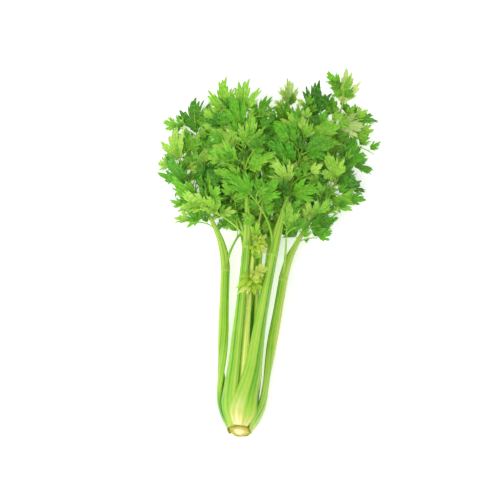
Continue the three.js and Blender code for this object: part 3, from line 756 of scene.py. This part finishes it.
def makeLeafMaterial(ringName):  # a leaflet's blade: mottled green with pale veins, paler below
    material, tree, shader = newMaterial(ringName + " leaf")
    place = addNode(tree, "TexCoord").outputs["Object"]
    mottle = noise(tree, place, leafFinish["mottleScale"], 3, 0.6)
    tone = maths(tree, "ADD", mark(tree, "shade"), about(tree, mottle, 0, leafFinish["mottle"]))
    old, young = ramp(tree, tone, leafColours[ringName]), ramp(tree, tone, leafColours["young"])
    top = blendColour(tree, mark(tree, "young"), old, young)
    mainVein = maths(tree, "POWER", mark(tree, "vein"), 3)
    sideWave = maths(tree, "SINE", maths(tree, "MULTIPLY", mark(tree, "herring"), 6.283))
    sideVein = maths(tree, "POWER", maths(tree, "MAXIMUM", sideWave, 0), 6)
    veins = maths(tree, "MAXIMUM", mainVein, maths(tree, "MULTIPLY", sideVein, leafFinish["sideShare"]))
    veinAmount = maths(tree, "MULTIPLY", veins, leafFinish["veinAmount"])
    above = blendColour(tree, veinAmount, top, colour(leafFinish["vein"]))
    below = blendColour(tree, leafFinish["underAmount"], top, colour(leafFinish["under"]))
    base = blendColour(tree, mark(tree, "under"), above, below)
    rough = about(tree, mottle, leafFinish["roughness"], leafFinish["roughnessSpan"])
    height = maths(tree, "SUBTRACT", maths(tree, "MULTIPLY", mottle, 0.5), veins)
    finishSurface(tree, shader, base, rough, height, leafFinish)
    return material


skinMaterials = {ringName: makeSkin(ringName) for ringName in rings}
leafMaterials = {ringName: makeLeafMaterial(ringName) for ringName in rings}


stalkDetail = dict(
    rowStep=2.2, backPerRib=8, innerPoints=15, marginPoints=3, margin=1.5, wander=0.05, relief=0.62,
    strands=3, strandDepth=0.24, flare=0.06, flareLength=3.5, pinch=0.12, bumps=0.22, bumpSize=17,
    under=dict(outer_front_left=2.4))
stalkTones = dict(
    # the tones for the flanks, the hollow and where stalks lie on each other low in the butt are painted
    # shade
    band=0.18, groove=0.23, flank=0.2, hollow=0.12, margin=-0.06, seamShade=0.25, seamEnd=(22, 62), joint=0.14)
baseTone = curveThrough([0, 8, 20, 45, 90, 250], [0.17, 0.29, 0.45, 0.58, 0.61, 0.65])


def crescentAngles(ribs):
    # clockwise from the left edge over the back to the right edge, round it, and back inside
    back = np.linspace(-90, 90, ribs * stalkDetail["backPerRib"] + 1)
    rightEdge = 90 + np.linspace(0, 180, stalkDetail["marginPoints"] + 2)[1:-1]
    inner = np.linspace(90, -90, stalkDetail["innerPoints"])
    return back, rightEdge, inner


def crescent(stalk, y, scale=1.0, bundled=0.0):
    # a half ellipse over the back, raised into ribs that wander a little and differ in
    # strength, or bundled into a few deep strands, a round margin at each edge, and a flatter
    # half ellipse inside; returns sideways and outward distances, and marks
    ring = rings[stalk["ring"]]
    y = np.asarray(y, float)[:, None]
    halfWidth = ring["halfWidth"](y) * stalk["wide"] * scale
    depth = ring["depth"](y) * scale
    hollow = depth - ring["thickness"](y) * scale
    back, edge, inner = crescentAngles(ring["ribs"])
    t, e, s = np.radians(back), np.radians(edge - 90), np.radians(inner)
    wander = stalkDetail["wander"] * np.sin(y / 41 + stalk["angle"]) * np.cos(t)
    strength = 0.72 + 0.28 * np.sin(3.1 * t + stalk["angle"]) * np.sin(7.3 * t + 2 * stalk["angle"])
    ridge = strength * (0.5 + 0.5 * np.cos(2 * ring["ribs"] * (t + wander))) ** 1.3
    relief = stalkDetail["relief"] * ring["ribHeight"] * scale * (ridge - 0.4)
    relief = relief * mix(0.3, 1, smoothstep(y, 10, 42))  # low in the butt
    strand = np.abs(np.cos(stalkDetail["strands"] * t)) ** 0.5
    ridge = mix(ridge, strand, bundled)
    relief = mix(relief, stalkDetail["strandDepth"] * halfWidth * (strand - 0.8), bundled)
    margin = stalkDetail["margin"] * scale / 2
    x = [(halfWidth + relief) * np.sin(t), (halfWidth - margin) + margin * np.cos(e)]
    z = [depth / 2 + relief - (depth + relief) * (1 - np.cos(t)), -depth / 2 - margin * np.sin(e)]
    x.append((halfWidth - 2 * margin) * np.sin(s))
    z.append(-depth / 2 + hollow * np.cos(s))
    x.append(-(halfWidth - margin) - margin * np.cos(e[::-1]))
    z.append(-depth / 2 - margin * np.sin(e))
    x, z = np.concatenate(x, axis=1), np.concatenate(z, axis=1)
    one = np.ones_like(y)
    across = one * np.concatenate([back / 90, 1 + 0 * edge, inner / 90, -1 + 0 * edge])
    level = [0.6 + 0 * edge, 0.45 + 0 * inner, 0.6 + 0 * edge]
    ridges = np.concatenate([ridge * one] + [one * flat for flat in level], axis=1)
    around = np.concatenate([back, edge, 180 - inner, 180 + edge])
    return x, z, across, ridges, np.radians(around)


def stalkTone(stalk, across, ridges, rise):
    # broad bands and ribs of the back are paler; painted shade makes the flanks and the hollow greener,
    # and the edges and margins greener low in the butt where a stalk lies on the next; margins are pale above
    # it
    backCount = len(crescentAngles(rings[stalk["ring"]]["ribs"])[0])
    columns = np.arange(across.shape[1])
    onBack = columns < backCount
    onInner = (columns > backCount) & (columns < across.shape[1] - stalkDetail["marginPoints"])
    onMargin = ~onBack & (np.abs(across) == 1)
    drift = 0.4 * np.sin(rise / 47 + stalk["angle"])
    band = np.sin(4.2 * across + stalk["angle"] + drift)
    band = band + 0.7 * np.sin(9.7 * across + 3 * stalk["angle"] - drift)
    low = 1 - smoothstep(rise, *stalkTones["seamEnd"])
    tone = onBack * (stalkTones["band"] * band * 0.6 - stalkTones["groove"] * (ridges - 0.35))
    # painted shade: the back greens towards its edges on the flanks
    tone = tone + onBack * stalkTones["flank"] * np.abs(across) ** 3
    # painted shade: low in the butt the back greens near its edges, where a stalk lies on the next
    tone = tone + onBack * stalkTones["seamShade"] * low * smoothstep(np.abs(across), 0.62, 0.9)
    # painted shade on the margins low in the butt, where they lie on the next stalk; above it their own pale
    # tone
    margin = mix(stalkTones["seamShade"], stalkTones["margin"], smoothstep(rise, 25, 70))
    # painted shade: the hollow inside the crescent is greener
    return tone + (onInner & ~onMargin) * stalkTones["hollow"] + onMargin * margin


def makeStalk(stalk):
    # the crescent carried along the stalk's centre line, with low soft bumps: flared and then
    # pinched at the joint, and flat where it lies on the table
    ring, top = rings[stalk["ring"]], stalk["joint"][1]
    start, end = ring["start"], stalkDetail["flareLength"]
    foot = start + np.array([0, 0.3, 0.8])
    body = np.arange(start + stalkDetail["rowStep"], top - end, stalkDetail["rowStep"])
    y = np.concatenate([foot, body, top - end * np.array([0.8, 0.55, 0.35, 0.2, 0.1, 0.03, 0])])
    x, z, across, ridges, _ = crescent(stalk, y)
    under = stalkDetail["under"].get(stalk["name"], 0) * (1 - smoothstep(y, 26, 46))
    z = z - under[:, None] * smoothstep(across, 0.1, 0.9)  # one edge slips under its neighbour
    swell = 1 + stalkDetail["flare"] * smoothstep(y, top - end, top - 0.6)
    swell -= stalkDetail["pinch"] * smoothstep(y, top - 0.7, top) ** 2
    centre = stalkCentre(stalk, y)
    _, out, side = stalkFrame(stalk, y)
    grid = centre[:, None] + side[:, None] * (x * swell[:, None])[..., None]
    grid = grid + out[:, None] * (z * swell[:, None])[..., None]
    bumps = stalkDetail["bumps"] * lumps(grid / [1, 3, 1], stalkDetail["bumpSize"], 5)
    grid += out[:, None] * bumps[..., None]
    grid[..., 2] = np.maximum(grid[..., 2], 0.02)
    rise = y[:, None]
    fade = smoothstep(rise, 6, 60)
    tone = baseTone(rise) + mix(stalk["foot"], stalk["green"], fade)
    tone = tone + stalkTone(stalk, across, ridges, rise) * mix(0.85, 1, fade)
    tone = tone - stalkTones["joint"] * smoothstep(rise, top - 1.4, top - 0.5)
    cut = (1 - smoothstep(rise, start, start + 0.6)) * (stalk["ring"] == "outer")
    return tube(grid, tone=tone, rise=rise / 100, across=across, cut=cut)


for stalk in stalks:
    name, slotName = stalk["name"], stalk["ring"] + "_stalk"
    makePiece(name + "_petiole", makeStalk(stalk), skinMaterials[stalk["ring"]], name + "_stalk")
print("stalks made:", len(stalks))


stem = dict(
    profile=[
        (0, 0), (1.6, 0), (3.2, 0), (4.8, 0), (6.4, 0), (7.4, 0), (8.4, 0), (9.4, 0), (10.4, 0),
        (11.4, 0), (12.5, 0.1), (13.5, 0.6), (14.1, 1.5), (13.9, 3), (13, 6), (10, 15), (7.4, 27),
        (4, 38), (1, 42.6),
    ],
    sides=72, coreRadius=6.1, wobble=0.9, wobbleSize=9, domed=0.9, sunk=0.9, grain=0.55,
    grainSizes=(3.1, 1.5),
    stops=[
        (0, "F8E8BE"), (0.38, "F4E0A8"), (0.45, "E8CE5E"), (0.55, "D8C24C"), (0.8, "B8B044"),
        (1, "7C8C30"),
    ],
    ragged=0.5, roughness=0.6, roughnessSpan=0.3, bump=0.5, bumpDepth=0.0008, gloss=0.3,
)


def makeCutFace():  # cream in the middle, a tan line round it, and a ragged olive rim
    material, tree, shader = newMaterial("cut stem")
    where, rim = addNode(tree, "TexCoord").outputs["Object"], mark(tree, "rim")
    grain, cloud = noise(tree, where, 420, 4, 0.62), noise(tree, where, 120, 2, 0.5)
    uneven = maths(tree, "MULTIPLY", rim, maths(tree, "ADD", grain, cloud))
    uneven = about(tree, uneven, -stem["ragged"] / 2, stem["ragged"])
    away = maths(tree, "ADD", mark(tree, "away"), maths(tree, "MULTIPLY", rim, uneven))
    rough = about(tree, grain, stem["roughness"], stem["roughnessSpan"])
    finishSurface(tree, shader, ramp(tree, away, stem["stops"]), rough, grain, stem)
    return material


def makeStem():
    # a profile turned about the head's axis; its cut face is domed over the core and sunk and
    # grainy round it
    radius, y = np.array(stem["profile"]).T
    turn = -2 * math.pi * np.arange(stem["sides"]) / stem["sides"]
    x = radius[:, None] * np.cos(turn)
    z = radius[:, None] * np.sin(turn)
    grid = np.stack([x, np.repeat(y[:, None], stem["sides"], axis=1), z], axis=-1)
    face = (1 - smoothstep(y, 0.5, 4))[:, None]
    r = radius[:, None] + stem["wobble"] * lumps(grid, stem["wobbleSize"], 3)
    core = (1 - smoothstep(r, stem["coreRadius"] - 1, stem["coreRadius"] + 0.6)) * face
    coarse, fine = [lumps(grid * [1, 0, 1], size, 11 + k) for k, size in enumerate(stem["grainSizes"])]
    rough = (coarse + 0.6 * fine) * (1 - 0.85 * core)
    grid[..., 1] -= face * (stem["domed"] * core - stem["sunk"] * (1 - core) + stem["grain"] * rough)
    grid[..., 2] += head["axisHeight"]
    grid[0] = grid[0].mean(axis=0) + (grid[0] - grid[0].mean(axis=0)) * 0.02
    away = r / radius.max() + 0.4 * smoothstep(y, 1, 6)[:, None]
    return tube(grid, away=np.clip(away, 0, 1), rim=1 - core)


makePiece("cut_stem", makeStem(), makeCutFace(), "stem")
print("stem made")


frondDetail = dict(
    rachisStep=3.4, ridges=7, ridgeHeight=0.06, branchSides=12, branchRows=22, sprigRows=8,
    sprigRadius=(1.1, 0.6), veinSides=6, veinRows=10, veinSpan=(-0.23, 0.66))
ribTones = dict(foot=0.6, tip=0.74, veins=0.62, grooves=(0.16, 0.34), joint=0.16)


def ribTone(stalk, t, greenShare=0.5):
    return mix(ribTones["foot"], ribTones["tip"], t)[:, None] + greenShare * stalk["green"]


def makeRachis(frond):
    # the stalk's crescent at the joint, closing to a ribbed round rib along the main curve
    stalk, curve = frond["stalk"], frond["rachis"]
    length = curveLength(curve)
    near = np.array([-0.6, -0.3, 0, 0.3, 0.7, 1.2, 2, 3, 4.2])
    d = np.concatenate([near, np.arange(6, length, frondDetail["rachisStep"]), [length]])
    t = np.clip(d / length, 0, 1)
    jointY = np.full(len(d), stalk["joint"][1])
    swell = 0.94 + 0.13 * smoothstep(d, -0.6, 1) - 0.05 * smoothstep(d, 2, 8)  # a knuckle at the joint
    bundled = smoothstep(d, 1, 9)[:, None]
    x, z, across, ridges, around = crescent(stalk, jointY, footScale(d)[:, None], bundled)
    foot = frondPlan["footLength"]
    close = smoothstep(d, 0.4 * foot, 1.2 * foot)[:, None]
    ridge = frondDetail["ridgeHeight"] * np.cos(frondDetail["ridges"] * around)
    radius = rachisRadius(stalk, t)[:, None] * (1 + ridge)
    x = mix(x * swell[:, None], radius * np.sin(around), close)
    z = mix(z * swell[:, None], radius * np.cos(around), close)
    along = tangent(curve, t)
    way = mix(facing(stalk, jointY), frondFrame(stalk)[3], close)
    out, side = frameAcross(along, way)
    centre = bezier(curve, t) + along * np.minimum(d, 0)[:, None]
    grid = pressed(centre[:, None] + side[:, None] * x[..., None] + out[:, None] * z[..., None], 0.05, 0.3)
    tone = ribTone(stalk, t, 0.7) - mix(*ribTones["grooves"], bundled) * (ridges - 0.6) * (1 - close)
    tone = tone - ribTones["joint"] * (1 - smoothstep(d, 0.2, 1.8))[:, None]
    return tube(grid, tone=tone, rise=(jointY[0] + d[:, None]) / 100, across=across, cut=0)


def makeRib(path, radius, sides, tone):  # a round rib that thins along a path of points
    along = unit(np.gradient(path, axis=0))
    out, side = frameAcross(along, np.array([0.05, 0.02, 1.0]))
    turn = 2 * math.pi * np.arange(sides) / sides
    x, z = radius[:, None] * np.sin(turn), radius[:, None] * np.cos(turn)
    grid = path[:, None] + side[:, None] * x[..., None] + out[:, None] * z[..., None]
    rise = np.linalg.norm(path - path[0], axis=1)[:, None] / 100
    return tube(pressed(grid, 0.1, 0.3), tone=tone, rise=rise, across=np.cos(turn), cut=0)


def makeBranch(stalk, curve):
    t = np.linspace(0, 1, frondDetail["branchRows"])
    return makeRib(bezier(curve, t), branchRadius(stalk, t), frondDetail["branchSides"], ribTone(stalk, t))


def makeSprigRib(stalk, curve):
    t = np.linspace(0, 1, frondDetail["sprigRows"])
    radius = mix(*frondDetail["sprigRadius"], t)
    return makeRib(bezier(curve, t), radius, frondDetail["veinSides"], ribTone(stalk, t))


def makeLeafletStalk(stalk, blade):  # from the rib to the blade, and on under it as its midrib
    start, end = frondDetail["veinSpan"]
    u = np.linspace(start, end, frondDetail["veinRows"])
    height = leafletHeight(blade, u, 0 * u) - 0.3 * smoothstep(u, -0.05, 0.1)
    radius = mix(0.95, 0.5, smoothstep(u, start, 0.1)) * (1 - 0.75 * smoothstep(u, 0.1, end))
    radius = radius * blade["length"] / 40 + 0.1
    tone = ribTones["veins"] + 0.6 * stalk["green"]
    return makeRib(leafletPoints(blade, u, 0 * u, height), radius, frondDetail["veinSides"], tone)


# half an outline: angle off the midrib and reach of each tooth and of each cut between
teeth = [
    (0, 1), (4.5, 0.85), (9, 0.93), (13, 0.72), (17, 0.81), (22.5, 0.42), (27, 0.72), (31, 0.66), (36, 0.88),
    (40.5, 0.64), (46, 0.76), (51, 0.44), (58, 0.54), (66, 0.22), (94, 0.05),
]
bladeDetail = dict(
    rings=(0.22, 0.44, 0.64, 0.8, 0.91, 1), smallRings=(0.35, 0.65, 0.86, 1), smallest=33, thickness=0.44,
    edge=0.4, crease=0.034, ruffle=0.05, ruffles=9, curl=(-0.06, 0.24), narrow=(0.76, 1), jitter=0.08,
    jitterTurn=0.25, flank=0.7, sideVeins=6, sideSlant=5, turnedLength=(24, 46))
bladeTones = dict(
    shade=0.52, shadeSpread=0.22, shadeLimits=(0.14, 0.98), youngLift=0.1, youthSpread=0.08,
    youth=dict(outer=0, inner=0.06, heart=0.16), under=0.5)
# the leaflets nearest to these places show their pale undersides
turnedOver = [(-20, 460, 80), (42, 441, 90), (86, 456, 80), (110, 421, 70)]


def leafletOutline(rng, steps):
    # from a cut to a tooth the reach climbs steeply and then less, so that teeth have round
    # flanks and a point
    angles, reach, isTooth = [], [], []
    for side in (-1, 1):
        bent = rng.normal(size=len(teeth)) * bladeDetail["jitter"]
        keys = [(a * (1 + bladeDetail["jitterTurn"] * b), r * (1 + b)) for (a, r), b in zip(teeth, bent)]
        half = [(0.0, 1.0, 1.0)]
        for k in range(1, len(keys)):
            (a0, r0), (a1, r1) = keys[k - 1] if k > 1 else (0.0, 1.0), keys[k]
            for share in np.arange(1, steps + 1) / steps:
                climb = (share if r1 > r0 else 1 - share) ** bladeDetail["flank"]
                atTooth = float(share == 1 and k % 2 == 0)
                half.append((mix(a0, a1, share), mix(min(r0, r1), max(r0, r1), climb), atTooth))
        half = np.array(half)
        order = slice(None, 0, -1) if side < 0 else slice(None)
        angles.append(side * half[order, 0])
        reach.append(half[order, 1])
        isTooth.append(half[order, 2])
    return np.radians(np.concatenate(angles)), np.concatenate(reach), np.concatenate(isTooth)


def thinShell(middle, up, half, rows, columns):
    # a fan of points, its root first, doubled to an upper and a lower skin with a wall between
    count = len(middle)
    points = np.concatenate([middle + up * half[:, None], middle - up * half[:, None]])
    a = 1 + np.arange(rows * columns).reshape(rows, columns)
    top = np.stack([a[:-1, :-1], a[1:, :-1], a[1:, 1:], a[:-1, 1:]], axis=-1).reshape(-1, 4)
    fan = np.stack([0 * a[0, :-1], a[0, :-1], a[0, 1:]], axis=-1)
    rim = np.concatenate([[0], a[:, 0], a[-1, 1:-1], a[::-1, -1]])
    after = np.roll(rim, -1)
    wall = np.stack([rim, rim + count, after + count, after], axis=-1)
    quads = np.concatenate([top, top[:, ::-1] + count, wall])
    return points, quads, np.concatenate([fan, fan[:, ::-1] + count])


def makeLeaflet(blade, rng, shade, young, turned):
    # fans of points out from the base to the toothed outline, lifted by the plain leaflet's
    # height, creased down along each vein, ruffled at the teeth and curled at the tips; a
    # thin closed shell
    isSmall = blade["length"] < bladeDetail["smallest"]
    theta, reach, isTooth = leafletOutline(rng, 1 if isSmall else 2)
    ring = np.array(bladeDetail["smallRings"] if isSmall else bladeDetail["rings"])[:, None]
    narrow = rng.uniform(*bladeDetail["narrow"])
    u = ring * reach * np.cos(theta)
    v = ring * reach * np.sin(theta) * blade.get("narrow", narrow)
    ruffle = bladeDetail["ruffle"] * np.sin(bladeDetail["ruffles"] * theta + rng.uniform(0, 6.28)) * ring ** 3
    crease = bladeDetail["crease"] * isTooth * (1 - 0.6 * ring)
    curl = rng.uniform(*bladeDetail["curl"]) * np.hypot(u, v) ** 3
    height = leafletHeight(blade, u, v) + blade["length"] * (ruffle - crease - curl)
    middle = pressed(np.concatenate([blade["base"][None], leafletPoints(blade, u, v, height).reshape(-1, 3)]))
    thick = np.repeat(np.where(ring[:, 0] < 1, 1, bladeDetail["edge"]), len(theta))
    half = bladeDetail["thickness"] / 2 * np.concatenate([[1], thick])
    points, quads, triangles = thinShell(middle, blade["face"], half, len(ring), len(theta))
    nearest = np.abs(theta[:, None] - theta[isTooth > 0]).min(axis=1)
    vein = np.concatenate([[1], (isTooth * (1 - 0.35 * ring) + 0 * u).ravel()])
    herring = bladeDetail["sideVeins"] * ring * reach - bladeDetail["sideSlant"] * nearest
    herring = np.concatenate([[0], (herring + 0 * u).ravel()])
    under = np.repeat([1.0, 0.0] if turned else [0.0, bladeTones["under"]], len(middle))
    marks = dict(shade=shade, under=under, young=young, vein=np.tile(vein, 2), herring=np.tile(herring, 2))
    return part(points, quads, triangles, **marks)


def nearestLeaflet(place):
    least, most = bladeDetail["turnedLength"]
    every = [blade for frond in fronds for blade in frond["blades"] if least < blade["length"] < most]
    return min(every, key=lambda blade: np.linalg.norm(blade["base"] - place))


def makeFrond(frond, rng, turnedLeaflets):  # one piece of all its ribs and one of all its leaflets
    stalk, ringName = frond["stalk"], frond["stalk"]["ring"]
    name, node = stalk["name"], stalk["name"] + "_leaf"
    bearing = {id(blade["curve"]) for blade in frond["blades"]}
    leafy = [curve for curve in frond["branches"] if id(curve) in bearing]
    ribs = [makeRachis(frond)] + [makeBranch(stalk, curve) for curve in leafy]
    ribs += [makeSprigRib(stalk, curve) for curve in frond["sprigs"]]
    ribs += [makeLeafletStalk(stalk, blade) for blade in frond["blades"]]
    makePiece(name + "_ribs", joined(ribs), skinMaterials[ringName], node)
    leaflets = []
    for blade in frond["blades"]:
        shade = bladeTones["shade"] + bladeTones["shadeSpread"] * rng.normal()
        shade = np.clip(shade + bladeTones["youngLift"] * blade.get("young", 0), *bladeTones["shadeLimits"])
        young = blade.get("young", bladeTones["youth"][ringName]) + bladeTones["youthSpread"] * rng.normal()
        turned = id(blade) in turnedLeaflets
        leaflets.append(makeLeaflet(blade, rng, shade, np.clip(young, 0, 1), turned))
    makePiece(name + "_leaflets", joined(leaflets), leafMaterials[ringName], node)


turnedLeaflets = [id(nearestLeaflet(np.array(place))) for place in turnedOver]
frondDraws = np.random.default_rng(8)
for frond in fronds:
    makeFrond(frond, frondDraws, turnedLeaflets)
print("fronds made:", len(fronds))


stage = dict(
    size=6, floor="F4F4F3", floorRoughness=0.7, floorGlow=0.5, sky="FFFFFF", skyStrength=0.72,
    keyPower=19, keySize=1.2, keyPlace=(-0.6, -0.55, 1.6), keyAim=(0, 0.15, 0))


def makeFloor():  # it glows a little, which keeps the shadows pale
    half = stage["size"] / 2
    mesh = bpy.data.meshes.new("floor")
    corners = [(-half, -half, 0), (half, -half, 0), (half, half, 0), (-half, half, 0)]
    mesh.from_pydata(corners, [], [(0, 1, 2, 3)])
    material, _, shader = newMaterial("pale floor")
    shader.inputs["Base Color"].default_value = colour(stage["floor"])
    shader.inputs["Roughness"].default_value = stage["floorRoughness"]
    shader.inputs["Emission Color"].default_value = colour(stage["floor"])
    shader.inputs["Emission Strength"].default_value = stage["floorGlow"]
    mesh.materials.append(material)
    floor = bpy.data.objects.new("floor", mesh)
    bpy.context.scene.collection.objects.link(floor)


makeFloor()

world = bpy.data.worlds.new("studio")
world.use_nodes = True
world.node_tree.nodes["Background"].inputs[0].default_value = colour(stage["sky"])
world.node_tree.nodes["Background"].inputs[1].default_value = stage["skyStrength"]
bpy.context.scene.world = world


def makeLamp(name, place, target, power, size):
    data = bpy.data.lights.new(name, "AREA")
    data.energy = power
    data.size = size
    lamp = bpy.data.objects.new(name, data)
    lamp.location = place
    lamp.rotation_euler = (Vector(target) - Vector(place)).to_track_quat("-Z", "Y").to_euler()
    bpy.context.scene.collection.objects.link(lamp)


makeLamp("key", stage["keyPlace"], stage["keyAim"], stage["keyPower"], stage["keySize"])

# field is the frame's width in metres at the head, and the cut end is seen at basePixel
view = dict(elevation=75, lean=6.6, distance=3.2, field=0.65, basePixel=(239.3, 432), frame=500, sensor=36)


def makeCamera():  # looks down from the foot side, rolled so that the head leans to the right
    elevation, lean = math.radians(view["elevation"]), math.radians(view["lean"])
    back = Vector((0, -math.cos(elevation), math.sin(elevation)))
    upHead = Vector((0, math.sin(elevation), math.cos(elevation)))
    right = math.cos(lean) * Vector((1, 0, 0)) + math.sin(lean) * upHead
    up = back.cross(right)
    scale = view["field"] / view["frame"]
    base = Vector((0, -head["restY"] / 1000, head["axisHeight"] / 1000))
    middle = view["frame"] / 2
    target = base + right * (middle - view["basePixel"][0]) * scale
    target = target + up * (view["basePixel"][1] - middle) * scale
    data = bpy.data.cameras.new("camera")
    data.sensor_width = view["sensor"]
    data.lens = view["sensor"] * view["distance"] / view["field"]
    camera = bpy.data.objects.new("camera", data)
    camera.location = target + back * view["distance"]
    camera.rotation_euler = Matrix((right, up, back)).transposed().to_euler()
    bpy.context.scene.collection.objects.link(camera)
    bpy.context.scene.camera = camera


makeCamera()
bpy.context.scene.view_settings.view_transform = "Standard"
print("stage set")
